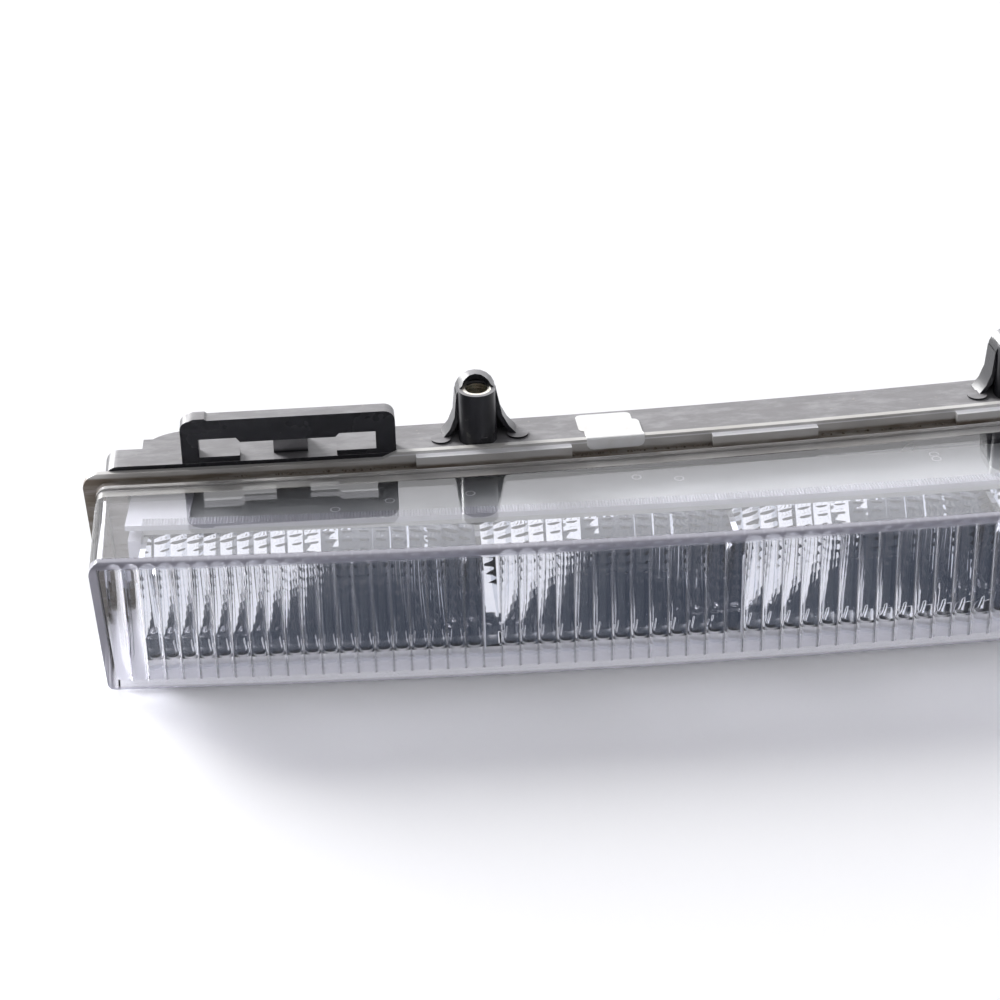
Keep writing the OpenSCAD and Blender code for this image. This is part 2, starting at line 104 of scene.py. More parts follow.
class Finish:
    """One material or world. node() takes a type, settings, and the sockets' values or links."""

    def __init__(self, name, owner=None):
        self.owner = owner or bpy.data.materials.new(name)
        self.owner.use_nodes = True
        self.tree = self.owner.node_tree
        self.tree.nodes.clear()

    def node(self, kind, settings=None, inputs=None, out=0):
        made = self.tree.nodes.new(kind)
        for key, value in (settings or {}).items():
            setattr(made, key, value)
        for key, value in (inputs or {}).items():
            if isinstance(value, Wire):
                self.tree.links.new(value.socket, made.inputs[key])
            else:
                made.inputs[key].default_value = value
        return Wire(self, made.outputs[out])

    def math(self, operation, *values):
        return self.node("ShaderNodeMath", {"operation": operation}, dict(enumerate(values)))

    def place(self, axis=None):
        """The point being shaded, in metres, or one of its coordinates."""
        point = self.node("ShaderNodeTexCoord", out="Object")
        if axis is None:
            return point
        return self.node("ShaderNodeSeparateXYZ", {}, {0: point}, out="XYZ".index(axis))

    def stretched(self, scale):
        return self.node("ShaderNodeVectorMath", {"operation": "MULTIPLY"},
                         {0: self.place(), 1: scale})

    def noise(self, scale, detail=3.0, rough=0.55, at=None):
        return self.node("ShaderNodeTexNoise", {"noise_dimensions": "3D"},
                         {"Vector": at or self.place(), "Scale": scale, "Detail": detail,
                          "Roughness": rough})

    def upward(self):
        """How far the surface faces up: 1 on a level top."""
        facing = self.node("ShaderNodeNewGeometry", out="Normal")
        return self.node("ShaderNodeSeparateXYZ", {}, {0: facing}, out=2)

    def mix(self, amount, first, second):
        made = self.tree.nodes.new("ShaderNodeMix")
        made.data_type = "RGBA"
        for key, value in ((0, amount), (6, first), (7, second)):
            if isinstance(value, Wire):
                self.tree.links.new(value.socket, made.inputs[key])
            elif key == 0:
                made.inputs[key].default_value = value
            else:
                made.inputs[key].default_value = (*value, 1.0)
        return Wire(self, made.outputs[2])

    def bump(self, height, depth):
        return self.node("ShaderNodeBump", {},
                         {"Height": height, "Distance": depth, "Strength": 1.0})

    def gloss(self, **sockets):
        values = {key.replace("_", " "): value for key, value in sockets.items()}
        return self.node("ShaderNodeBsdfPrincipled", {}, values)

    def out(self, surface, kind="ShaderNodeOutputMaterial"):
        end = self.tree.nodes.new(kind)
        self.tree.links.new(surface.socket, end.inputs["Surface"])
        return self.owner


def room():
    """White for the eye; for the lamp, bright behind, above and right, and slate in front."""
    world = Finish("room", bpy.context.scene.world or bpy.data.worlds.new("room"))
    bpy.context.scene.world = world.owner
    direction = world.node("ShaderNodeTexCoord", out="Generated")
    across, ahead, height = (world.node("ShaderNodeSeparateXYZ", {}, {0: direction}, out=i)
                             for i in range(3))
    # the bright side begins at a tilted edge on the right, and all of the back is bright
    tilt = 0.4
    window = (across - height * tilt).above(-0.02, 0.02)
    bright = world.math("MAXIMUM", window, ahead.above(0.18, 0.3))
    wall = world.mix(ahead.above(0.3, 0.6), (1.0, 1.0, 1.02), (1.9, 1.9, 1.95))
    slate, soft_light, white = (0.03, 0.04, 0.06), (0.3, 0.3, 0.315), (1.0, 1.0, 1.0)
    wall = world.mix(bright, slate, wall)
    soft = world.node("ShaderNodeLightPath", out="Is Diffuse Ray")
    eye = world.node("ShaderNodeLightPath", out="Is Camera Ray")
    colour = world.mix(eye, world.mix(soft, wall, soft_light), white)
    world.out(world.node("ShaderNodeBackground", {}, {"Color": colour, "Strength": 1.0}),
              "ShaderNodeOutputWorld")


def table():
    """Lit to just under white, and lifted to white for the eye, so that the shadow stays."""
    mesh = bpy.data.meshes.new("table_top")
    corners = [(x * table_half, y * table_half, rest_z)
               for x, y in ((-1, -1), (1, -1), (1, 1), (-1, 1))]
    mesh.from_pydata(corners, [], [(0, 1, 2, 3)])
    floor = bpy.data.objects.new("table_top", mesh)
    bpy.context.scene.collection.objects.link(floor)
    paint = Finish("table_white")
    lit = paint.gloss(Base_Color=(0.86, 0.86, 0.88, 1.0), Roughness=0.7, Specular_IOR_Level=0.2)
    lift = paint.node("ShaderNodeEmission", {},
                      {"Color": (1.0, 1.0, 1.0, 1.0), "Strength": table_lift})
    both = paint.node("ShaderNodeAddShader", {}, {0: lit, 1: lift})
    plain = paint.node("ShaderNodeLightPath", out="Is Diffuse Ray")
    surface = paint.node("ShaderNodeMixShader", {}, {0: plain, 1: both, 2: lit})
    mesh.materials.append(paint.out(surface))


def broad_lamp(toward, spread, strength):
    """A far lamp with a soft edge, given by the direction it stands in."""
    light = bpy.data.lights.new("broad_lamp", "SUN")
    light.energy = strength
    light.angle = math.radians(spread)
    lamp = bpy.data.objects.new("broad_lamp", light)
    lamp.rotation_euler = Vector(toward).to_track_quat("Z", "Y").to_euler()
    bpy.context.scene.collection.objects.link(lamp)


room()
table()
broad_lamp(lamp_toward, lamp_spread, lamp_strength)

camera_place = Vector((-0.04131, -0.60310, 0.30140))
camera_ahead = Vector((0.06744, 0.87253, -0.48389))
camera_right = Vector((0.99574, -0.08942, -0.02247))
camera_data = bpy.data.cameras.new("camera")
camera_data.sensor_width = 36.0
camera_data.lens = 94.714
camera_data.clip_start = 0.01
camera = bpy.data.objects.new("camera", camera_data)
camera_up = camera_right.cross(camera_ahead)
turn = Matrix((camera_right, camera_up, -camera_ahead)).transposed().to_4x4()
camera.matrix_world = Matrix.Translation(camera_place) @ turn
bpy.context.scene.collection.objects.link(camera)
bpy.context.scene.camera = camera

# Clear lens
# One clear moulding with a bowed front, flutes on its inside, and a flange with a groove and a lip.
# It is glued into the housing, and dirt has settled in the groove, as a film and as loose crumbs.
bow_r = 2.0125
taper = math.radians(2.4)
face_half = 0.155051
half_top = face_half + 0.0035
end_draft = 0.0017
lens_h = 0.0366
ridge = 0.0383
lip_front = ridge + 0.0039
lip_back = lip_front + 0.0016
lip_top = lens_h + 0.0042
housing_top = lens_h + 0.0035
ring_z = housing_top + 0.0142
flute_w = 0.0042
flute_growth = 0.0036
flute_count = 66
plastic_ior = 1.49


def groove(i):
    """Where groove i crosses the lit face, along it from the middle of the lamp."""
    return flute_w * (i + flute_growth * i * i / 2) - face_half


def on_bow(s, d):
    return Vector(((bow_r - d) * math.sin(s / bow_r), bow_r - (bow_r - d) * math.cos(s / bow_r)))


def swung(point):
    """The flange's bow is the lit face's bow, swung about the left end."""
    pivot = on_bow(-(half_top + 0.0001), ridge)
    return pivot + Matrix.Rotation(taper, 2) @ (point - pivot)


# the frame's origin: the top of the left boss, as a place on the bow
home = swung(on_bow(-0.061, lip_back + 0.0051))


def at_face(s, d, z):
    """A place in the lit face's bow: along it, behind it, and above the table."""
    point = on_bow(s, d) - home
    return Vector((point.x, point.y, z - ring_z))


def at_back(s, d, z):
    """The same in the flange's bow."""
    point = swung(on_bow(s, d)) - home
    return Vector((point.x, point.y, z - ring_z))


def link(name, mesh):
    piece = bpy.data.objects.new(name, mesh)
    bpy.context.scene.collection.objects.link(piece)
    return piece


def dressed(node, name, paint, angle=32.0):
    """A welded copy of a node's mesh, with smooth curves and crisp corners, that replaces it."""
    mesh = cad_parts[node].data.copy()
    mesh.name = name
    mesh.materials.clear()
    work = bmesh.new()
    work.from_mesh(mesh)
    weld = 2e-6
    bmesh.ops.remove_doubles(work, verts=work.verts, dist=weld)
    bmesh.ops.dissolve_degenerate(work, edges=work.edges, dist=weld / 2)
    work.to_mesh(mesh)
    work.free()
    for layer in ("custom_normal", "sharp_face", "sharp_edge"):
        if layer in mesh.attributes:
            mesh.attributes.remove(mesh.attributes[layer])
    mesh.shade_smooth()
    mesh.set_sharp_from_angle(angle=math.radians(angle))
    piece = link(name, mesh)
    level = piece.modifiers.new("even_shading", "WEIGHTED_NORMAL")
    level.keep_sharp = True
    level.weight = 80
    mesh.materials.append(paint)
    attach(piece, "root")
    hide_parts(node)


def behind(finish, centre):
    """How far the point being shaded lies behind the bow with this centre."""
    flat = finish.stretched((1.0, 1.0, 0.0))
    reach = finish.node("ShaderNodeVectorMath", {"operation": "DISTANCE"},
                        {0: flat, 1: (centre.x, centre.y, 0.0)}, out="Value")
    return bow_r - reach


def clear_plastic():
    lens = Finish("clear_plastic")
    clear = lens.gloss(Base_Color=(0.955, 0.955, 0.985, 1.0), Roughness=0.015, IOR=plastic_ior,
                       Transmission_Weight=1.0)
    centre = Vector((0.0, bow_r)) - home
    face_depth = behind(lens, centre)
    depth = behind(lens, swung(Vector((0.0, bow_r))) - home)
    height = lens.place("Z") + ring_z
    # the thick rounded edges of the moulding look violet-grey, because they gather dim light
    sideways = lens.math("ABSOLUTE", lens.place("X") + home.x)
    end_gap = (half_top - end_draft) + height * (end_draft / lens_h) - sideways
    front = 1.0 - face_depth.above(0.0028, 0.0038)
    rim = lens.math("MAXIMUM", height.above(lens_h - 0.002, lens_h - 0.001),
                    1.0 - height.above(0.0012, 0.0022))
    rim = lens.math("MAXIMUM", rim, 1.0 - end_gap.above(0.0016, 0.0024))
    edge = lens.gloss(Base_Color=(0.56, 0.55, 0.64, 1.0), Roughness=0.12, IOR=plastic_ior)
    # the grooves between the flutes get painted shade, and count says which flute a point is in
    slate = lens.gloss(Base_Color=(0.2, 0.215, 0.26, 1.0), Roughness=0.2, IOR=plastic_ior)
    turned = lens.math("ARCTANGENT", (lens.place("X") - centre.x) / (centre.y - lens.place("Y")))
    along = (turned * bow_r + face_half) / flute_w
    count = (lens.math("SQRT", along * (2 * flute_growth) + 1.0) - 1.0) / flute_growth
    near = 0.5 - lens.math("ABSOLUTE", lens.math("FRACT", count) - 0.5)
    inside = face_depth.above(0.001, 0.0014) * front
    groove_shade = (1.0 - near.above(0.03, 0.1)) * inside * lens.math("GREATER_THAN", count, 2.5)
    # the fluted inside bends light less than the plastic does, which keeps the flutes' edges thin
    shallow = lens.gloss(Base_Color=(0.97, 0.97, 0.985, 1.0), Roughness=0.0, IOR=1.25,
                         Transmission_Weight=1.0)
    clear = lens.node("ShaderNodeMixShader", {}, {0: inside, 1: clear, 2: shallow})
    # painted shade: slate mixed into the clear along the grooves
    clear = lens.node("ShaderNodeMixShader", {}, {0: groove_shade * 0.4, 1: clear, 2: slate})
    clear = lens.node("ShaderNodeMixShader", {}, {0: rim * front * 0.55, 1: clear, 2: edge})
    # brown-grey dust lies in the groove between ridge and lip, in streaks along it
    streaks = lens.noise(1.0, 5.0, 0.65, lens.stretched((55.0, 700.0, 500.0)))
    blotch = lens.noise(38.0, 3.0)
    groove_floor = depth.above(ridge + 0.0004, ridge + 0.0012)
    groove_floor = groove_floor * (1.0 - height.above(lens_h + 0.0006, lens_h + 0.0024))
    grime = (groove_floor * 0.58 + streaks * 0.55 + blotch * 0.35).above(0.74, 1.14)
    # the pads' tops on the lip are painted white, a painted highlight
    pad_highlight = depth.above(ridge + 0.0018, ridge + 0.002)
    pad_highlight = pad_highlight * (1.0 - depth.above(lip_front + 0.0002, lip_front + 0.0003))
    pad_highlight = pad_highlight * height.above(lens_h + 0.00305, lens_h + 0.0032)
    pad_highlight = pad_highlight * (1.0 - height.above(lens_h + 0.0034, lens_h + 0.0036))
    milky = lens.mix(blotch.above(0.3, 0.7), (0.56, 0.54, 0.51), (0.74, 0.73, 0.71))
    # painted highlight: the pads' tops are white over the milky flange and its dirt
    colour = lens.mix(pad_highlight, lens.mix(grime, milky, (0.17, 0.135, 0.1)), (0.93, 0.93, 0.94))
    satin = lens.gloss(Base_Color=colour, Roughness=0.28 + grime * 0.4, IOR=plastic_ior)
    # flange is the milky part behind the ridge, and shelf the hazy band just in front of it
    flange = depth.above(ridge + 0.0001, ridge + 0.0006)
    shelf = depth.above(ridge - 0.004, ridge - 0.0034)
    shelf = shelf * height.above(lens_h - 0.0016, lens_h - 0.0004)
    share = lens.math("MAXIMUM", flange * (0.84 + grime * 0.12), shelf * (0.34 + streaks * 0.3))
    body = lens.node("ShaderNodeMixShader", {}, {0: share, 1: clear, 2: satin})
    shade = lens.node("ShaderNodeBsdfTransparent", {}, {"Color": (0.62, 0.62, 0.64, 1.0)})
    shadow_ray = lens.node("ShaderNodeLightPath", out="Is Shadow Ray")
    return lens.out(lens.node("ShaderNodeMixShader", {}, {0: shadow_ray, 1: body, 2: shade}))


dressed("outer_lens", "clear_lens", clear_plastic())


class Pattern(Finish):
    """A Geometry Nodes tree that repeats a small shape, with named sizes as its inputs."""

    def __init__(self, name, paint, **sizes):
        self.tree = bpy.data.node_groups.new(name, "GeometryNodeTree")
        face = self.tree.interface
        face.new_socket("Geometry", in_out="OUTPUT", socket_type="NodeSocketGeometry")
        face.new_socket("Carrier", in_out="INPUT", socket_type="NodeSocketGeometry")
        self.inputs = {}
        for key, value in sizes.items():
            kind = "NodeSocketInt" if isinstance(value, int) else "NodeSocketFloat"
            self.inputs[key] = face.new_socket(key, in_out="INPUT", socket_type=kind)
        self.sizes = sizes
        self.entry = self.tree.nodes.new("NodeGroupInput")
        self.carrier = Wire(self, self.entry.outputs["Carrier"])
        self.paint = paint
        self.name = name

    def size(self, key):
        return Wire(self, self.entry.outputs[key])

    def grown(self, instances, carrier, slot):
        """Runs the tree on a carrier mesh and keeps the result as one plain mesh."""
        real = self.node("GeometryNodeRealizeInstances", {}, {0: instances})
        painted = self.node("GeometryNodeSetMaterial", {},
                            {"Geometry": real, "Material": self.paint})
        end = self.tree.nodes.new("NodeGroupOutput")
        self.tree.links.new(painted.socket, end.inputs[0])
        piece = link(self.name, carrier)
        grow = piece.modifiers.new("grow", "NODES")
        grow.node_group = self.tree
        for key, socket in self.inputs.items():
            grow[socket.identifier] = self.sizes[key]
        graph = bpy.context.evaluated_depsgraph_get()
        mesh = bpy.data.meshes.new_from_object(piece.evaluated_get(graph))
        piece.modifiers.remove(grow)
        piece.data = mesh
        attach(piece, "root")


def dry_dirt():
    soil = Finish("dry_dirt")
    speck = soil.noise(900.0, 2.0)
    colour = soil.mix(speck.above(0.35, 0.7), (0.1, 0.075, 0.055), (0.34, 0.3, 0.25))
    return soil.out(soil.gloss(Base_Color=colour, Roughness=0.85 + speck * 0.1))


def crumbs():
    """Crumbs of dirt that lie in the groove of the flange, where a cloth doesn't reach."""
    seed = 7
    crumb_count = 420
    full_turn = 6.28
    dirt = Pattern("groove_crumbs", dry_dirt(), largest=0.00042, seed=seed)
    index = dirt.node("GeometryNodeInputIndex")
    spread = dirt.node("FunctionNodeRandomValue", {"data_type": "FLOAT"},
                       {2: 0.25, 3: 1.0, "ID": index, "Seed": dirt.size("seed")}, out=1)
    crumb = dirt.node("GeometryNodeMeshIcoSphere", {},
                      {"Radius": dirt.size("largest"), "Subdivisions": 1})
    spin = dirt.node("FunctionNodeRandomValue", {"data_type": "FLOAT_VECTOR"},
                     {1: (full_turn, full_turn, full_turn), "ID": index, "Seed": dirt.size("seed")},
                     out=0)
    some = dirt.node("GeometryNodeInstanceOnPoints", {},
                     {"Points": dirt.carrier, "Instance": crumb, "Rotation": spin, "Scale": spread})
    dice = np.random.default_rng(seed)
    places = []
    for _ in range(crumb_count):
        s = dice.uniform(-0.155, 0.155)
        s -= 0.3 * (s + 0.02) * dice.uniform(0.0, 1.0)
        d = ridge + dice.choice([0.0009, 0.0036], p=[0.35, 0.65]) + dice.normal(0.0, 0.0002)
        places.append(at_back(s, min(max(d, ridge + 0.0008), lip_front - 0.0001), lens_h + 0.00012))
    seeds = bpy.data.meshes.new("crumb_places")
    seeds.from_pydata(places, [], [])
    dirt.grown(some, seeds, "sealant")


crumbs()

# Housing
# Black glass-filled nylon box with the loop, the two screw bosses and the connector socket, moulded
# in one. What faces up is a lighter grey, partly dust and partly painted sheen, the rest keeps its
# satin black, and the inside of the left end, beside the light unit, is pale.
unit_l = groove(0) + 0.0064
focus_d = 0.030


def black_nylon(name="black_nylon", dust_and_sheen_share=0.72):
    box = Finish(name)
    grain = box.noise(1400.0, 4.0)
    cloud = box.noise(42.0, 4.0, 0.6)
    scuff = box.noise(1.0, 5.0, 0.65, box.stretched((110.0, 260.0, 260.0)))
    specks = box.noise(620.0, 1.0).above(0.72, 0.76)
    # what faces up is lighter: partly dust, partly a painted sheen for the bright room's reflection
    dust_and_sheen = box.upward().above(0.55, 0.97) * (dust_and_sheen_share + cloud * 0.3)
    # dust caught on the gusset, seen through the loop's window
    nook = at_back(-0.1106, lip_back + 0.0035, housing_top)
    aside = box.math("ABSOLUTE", box.place("X") - nook.x)
    past = box.place("Y") - nook.y
    caught = (1.0 - aside.above(0.0043, 0.0046)) * past.above(-0.0003, -0.0001)
    caught = caught * (1.0 - past.above(0.0003, 0.0006))
    caught = caught * (box.place("Z") - nook.z).above(0.0002, 0.0016)
    dust_and_sheen = box.math("MAXIMUM", dust_and_sheen, caught * (0.55 + cloud * 0.4))
    black = box.mix(cloud.above(0.35, 0.7), (0.011, 0.011, 0.013), (0.02, 0.02, 0.024))
    # inside at the left end the wall is pale grey, where it shows through the lens
    depth = behind(box, swung(Vector((0.0, bow_r))) - home)
    along = box.place("X")
    level = box.place("Z") + ring_z
    first = at_back(0.0047 - half_top, lip_back, 0.0).x
    last = at_face(unit_l, focus_d, 0.0).x
    pale_end_wall = along.above(first - 0.0004, first) * (1.0 - along.above(last, last + 0.001))
    pale_end_wall = pale_end_wall * (1.0 - depth.above(lip_back + 0.0073, lip_back + 0.0077))
    pale_end_wall = pale_end_wall * level.above(0.0016, 0.0021)
    pale_end_wall = pale_end_wall * (1.0 - level.above(housing_top - 0.0027, housing_top - 0.0022))
    black = box.mix(pale_end_wall, black, (0.55, 0.55, 0.6))
    dust_and_sheen_grey = box.mix(scuff.above(0.38, 0.75), (0.25, 0.243, 0.25), (0.38, 0.372, 0.385))
    colour = box.mix(dust_and_sheen, black, dust_and_sheen_grey)
    colour = box.mix(specks * (dust_and_sheen * 0.35 + 0.06), colour, (0.42, 0.39, 0.34))
    return box.out(box.gloss(Base_Color=colour, Roughness=0.2 + cloud * 0.16 + dust_and_sheen * 0.12, IOR=1.5,
                             Specular_IOR_Level=0.34, Normal=box.bump(grain, 0.00002)))


nylon = black_nylon()
dressed("housing", "housing_shell", nylon)

# Sealant
# Butyl bead pressed into the channel behind the lip, dull and slightly lumpy.


def butyl():
    bead = Finish("butyl")
    lumps = bead.noise(260.0, 3.0)
    colour = bead.mix(lumps.above(0.3, 0.7), (0.03, 0.027, 0.025), (0.075, 0.068, 0.06))
    return bead.out(bead.gloss(Base_Color=colour, Roughness=0.55 + lumps * 0.3,
                               Normal=bead.bump(lumps, 0.0003)))


dressed("lens_glue", "butyl_bead", butyl())

# Reflector
# One metallised moulding with four bowls: each bowl is stepped in columns as wide as a flute, and
# each column is a chain of small pillows that spread the light. The stepped skin is laid over the
# plain bowls of the frame, and a rim along their foot is painted white as a painted highlight.
board_z = 0.0292
focal = 0.005807
bowl_low = 0.0042
unit_r = face_half - 0.0056
bowl_cuts = [unit_l, groove(21), groove(35), groove(49), unit_r]
led_places = [groove(14), groove(28), groove(42), groove(56)]
pillow_rows = 13


def bowl_depth(z):
    return focus_d + focal - (board_z - z) ** 2 / (4 * focal)


def closed_sheet(name, front, back, angle=28.0):
    """A closed shell from two grids of points, the front one seen from its open side."""
    high, wide = front.shape[:2]
    faces = []
    for layer in (0, 1):
        start = layer * wide * high
        for r in range(high - 1):
            for c in range(wide - 1):
                quad = [start + r * wide + c, start + (r + 1) * wide + c,
                        start + (r + 1) * wide + c + 1, start + r * wide + c + 1]
                faces.append(quad if layer == 0 else quad[::-1])
    rim = ([(0, c) for c in range(wide)] + [(r, wide - 1) for r in range(1, high)]
           + [(high - 1, c) for c in range(wide - 2, -1, -1)]
           + [(r, 0) for r in range(high - 2, 0, -1)])
    for (r0, c0), (r1, c1) in zip(rim, rim[1:] + rim[:1]):
        one, two = r0 * wide + c0, r1 * wide + c1
        faces.append([one, two, two + wide * high, one + wide * high])
    points = np.concatenate([front.reshape(-1, 3), back.reshape(-1, 3)])
    mesh = bpy.data.meshes.new(name)
    mesh.from_pydata(points.tolist(), [], faces)
    work = bmesh.new()
    work.from_mesh(mesh)
    bmesh.ops.recalc_face_normals(work, faces=work.faces)
    work.to_mesh(mesh)
    work.free()
    mesh.shade_smooth()
    mesh.set_sharp_from_angle(angle=math.radians(angle))
    return link(name, mesh)


def stepped_skin():
    """Pillows in front, the plain bowl behind, with a step between two columns."""
    across, bend, step = [], [], []
    cells = 7
    end_margin, wall_margin = 0.0019, 0.0008
    narrowest = 0.001
    steepest = 0.62
    for i in range(2, flute_count - 1):
        left = max(groove(i), unit_l + end_margin)
        right = min(groove(i + 1), unit_r - end_margin)
        if right - left < narrowest:
            continue
        middle = (left + right) / 2
        bowl = sum(middle > cut for cut in bowl_cuts[1:4])
        left = max(left, bowl_cuts[bowl] + wall_margin)
        right = min(right, bowl_cuts[bowl + 1] - wall_margin)
        side = middle - led_places[bowl]
        slope = -max(-steepest, min(steepest, side / 0.04))
        out = min(side * side / 1.1, 0.0012) + abs(slope) * (right - left) / 2
        for k in range(cells + 1):
            u = k / cells
            across.append(left + (right - left) * u)
            bend.append(1 - (2 * u - 1) ** 2)
            step.append(out - slope * (right - left) * (u - 0.5))
    points_per_pillow = 6
    crown_height, clearance, thick = 0.00013, 0.00012, 0.0004
    along = np.linspace(0.02, 0.985, pillow_rows * points_per_pillow + 1)
    across, bend, step = (np.array(values) for values in (across, bend, step))
    v = (along * pillow_rows) % 1.0
    crown = crown_height * (1 - (2 * v[:, None] - 1) ** 2) * bend[None, :]
    z = board_z + (bowl_low + 0.0006 - board_z) * along
    base = bowl_depth(z)[:, None] + 0 * across[None, :]
    swell = np.sin(np.pi * np.clip(along * 1.15, 0, 1))[:, None] ** 0.5
    front = base - clearance - step[None, :] * swell - crown
    layers = []
    for depth in (front, base + thick):
        x = (bow_r - depth) * np.sin(across / bow_r)[None, :] - home.x
        y = bow_r - (bow_r - depth) * np.cos(across / bow_r)[None, :] - home.y
        layers.append(np.stack([x, y, (z - ring_z)[:, None] + 0 * depth], -1))
    return closed_sheet("bowl_facets", *layers)


def mirror_coat():
    """Vapour-coated aluminium under lacquer, with a faint haze."""
    coat = Finish("mirror_coat")
    haze = coat.noise(160.0, 3.0)
    ripple = coat.noise(420.0, 2.0)
    colour = coat.mix(haze.above(0.3, 0.7), (0.84, 0.86, 0.9), (0.9, 0.91, 0.93))
    return coat.out(coat.gloss(Base_Color=colour, Metallic=1.0, Roughness=0.015 + haze * 0.03,
                               Normal=coat.bump(ripple, 0.00001)))


mirror = mirror_coat()
dressed("reflector", "reflector_shell", mirror, 20.0)
facets = stepped_skin()
facets.data.materials.append(mirror)
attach(facets, "root")


def rim_highlight_white():
    """The rim is painted white, a painted highlight for the bright line along the bowls' foot."""
    highlight_finish = Finish("rim_highlight_white")
    cloud = highlight_finish.noise(220.0, 3.0)
    colour = highlight_finish.mix(cloud.above(0.3, 0.7), (0.86, 0.86, 0.88), (0.95, 0.95, 0.96))
    return highlight_finish.out(highlight_finish.gloss(Base_Color=colour, Roughness=0.25 + cloud * 0.15, IOR=1.6))


def foot_bead():
    """The rounded rim along the foot of the bowls, which shows as a bright line."""
    rim = Pattern("foot_bead", rim_highlight_white(), radius=0.00095)
    line = rim.node("GeometryNodeMeshToCurve", {}, {0: rim.carrier})
    ring = rim.node("GeometryNodeCurvePrimitiveCircle", {},
                    {"Resolution": 14, "Radius": rim.size("radius")})
    tube = rim.node("GeometryNodeCurveToMesh", {},
                    {"Curve": line, "Profile Curve": ring, "Fill Caps": True})
    point_count, end_margin = 90, 0.0011
    forward, raised = 0.0007, 0.0004
    along = np.linspace(unit_l + end_margin, unit_r - end_margin, point_count)
    foot = bowl_depth(bowl_low) - forward
    places = [at_face(s, foot, bowl_low + raised) for s in along]
    path = bpy.data.meshes.new("bead_path")
    path.from_pydata(places, [(k, k + 1) for k in range(len(places) - 1)], [])
    rim.grown(tube, path, "metallised")


foot_bead()

# Trim strip
# Grey moulded strip on the front edge of the board, with a knurl of small pyramids on it, and the
# closing panel at its left end.
board_top = board_z + 0.0016
strip_front = focus_d - 0.0056
strip_back = focus_d - 0.0022
strip_top = board_top + 0.0014


def grey_trim():
    trim = Finish("grey_trim")
    grain = trim.noise(700.0, 3.0)
    tone = trim.noise(25.0, 2.0)
    colour = trim.mix(tone.above(0.3, 0.7), (0.5, 0.5, 0.53), (0.6, 0.6, 0.63))
    return trim.out(trim.gloss(Base_Color=colour, Roughness=0.38 + grain * 0.2,
                               Normal=trim.bump(grain, 0.00003)))


trim_paint = grey_trim()
dressed("inner_bezel", "trim_strip", trim_paint)


def knurl():
    """Rows of small pyramids, set on a grid that is bent along the bow."""
    pattern = Pattern("trim_knurl", trim_paint, first=unit_l + 0.0005, last=unit_r - 0.0006,
                      columns=372, rows=4, width=0.00042, height=0.0004)
    points = pattern.node("GeometryNodeMeshGrid", {},
                          {"Size X": 1.0, "Size Y": 1.0, "Vertices X": pattern.size("columns"),
                           "Vertices Y": pattern.size("rows")}, out=0)
    spot = pattern.node("GeometryNodeInputPosition")
    s, d = (pattern.node("ShaderNodeSeparateXYZ", {}, {0: spot}, out=k) for k in (0, 1))
    first, last = pattern.size("first"), pattern.size("last")
    angle = (first + (last - first) * (s + 0.5)) / bow_r
    edge = 0.0009
    reach = bow_r - (d * (strip_back - strip_front - edge) + (strip_front + strip_back) / 2)
    x = reach * pattern.math("SINE", angle) - home.x
    y = (bow_r - home.y) - reach * pattern.math("COSINE", angle)
    where = pattern.node("ShaderNodeCombineXYZ", {}, {0: x, 1: y, 2: strip_top - ring_z})
    points = pattern.node("GeometryNodeSetPosition", {}, {"Geometry": points, "Position": where})
    peak = pattern.node("GeometryNodeMeshCone", {},
                        {"Vertices": 4, "Radius Top": 0.0, "Radius Bottom": pattern.size("width"),
                         "Depth": pattern.size("height")}, out=0)
    many = pattern.node("GeometryNodeInstanceOnPoints", {}, {"Points": points, "Instance": peak})
    pattern.grown(many, bpy.data.meshes.new("knurl_carrier"), "trim")


knurl()

# End clip
# Black spring clip that holds the light unit at its left end.
dressed("end_clip", "end_clip_dark", black_nylon("clip_nylon", 0.1))

# Circuit board
# Aluminium-core board with a grey-white mask, painted near black where it faces down as painted
# shade, and printed test rings. It is screwed on from below.


def board_mask():
    mask = Finish("board_mask")
    tone = mask.noise(28.0, 3.0)
    weave = mask.noise(1.0, 2.0, 0.5, mask.stretched((900.0, 300.0, 300.0)))
    colour = mask.mix(tone.above(0.3, 0.7), (0.42, 0.43, 0.42), (0.52, 0.53, 0.52))
    # painted shade: what faces down is near black
    colour = mask.mix(mask.upward().above(-0.6, -0.2), (0.022, 0.03, 0.045), colour)
    return mask.out(mask.gloss(Base_Color=colour, Roughness=0.3 + weave * 0.2,
                               Normal=mask.bump(weave, 0.00001)))


def white_print():
    ink = Finish("white_print")
    wear = ink.noise(3000.0, 2.0)
    colour = ink.mix(wear.above(0.2, 0.6), (0.78, 0.78, 0.78), (0.93, 0.93, 0.93))
    return ink.out(ink.gloss(Base_Color=colour, Roughness=0.45 + wear * 0.15))


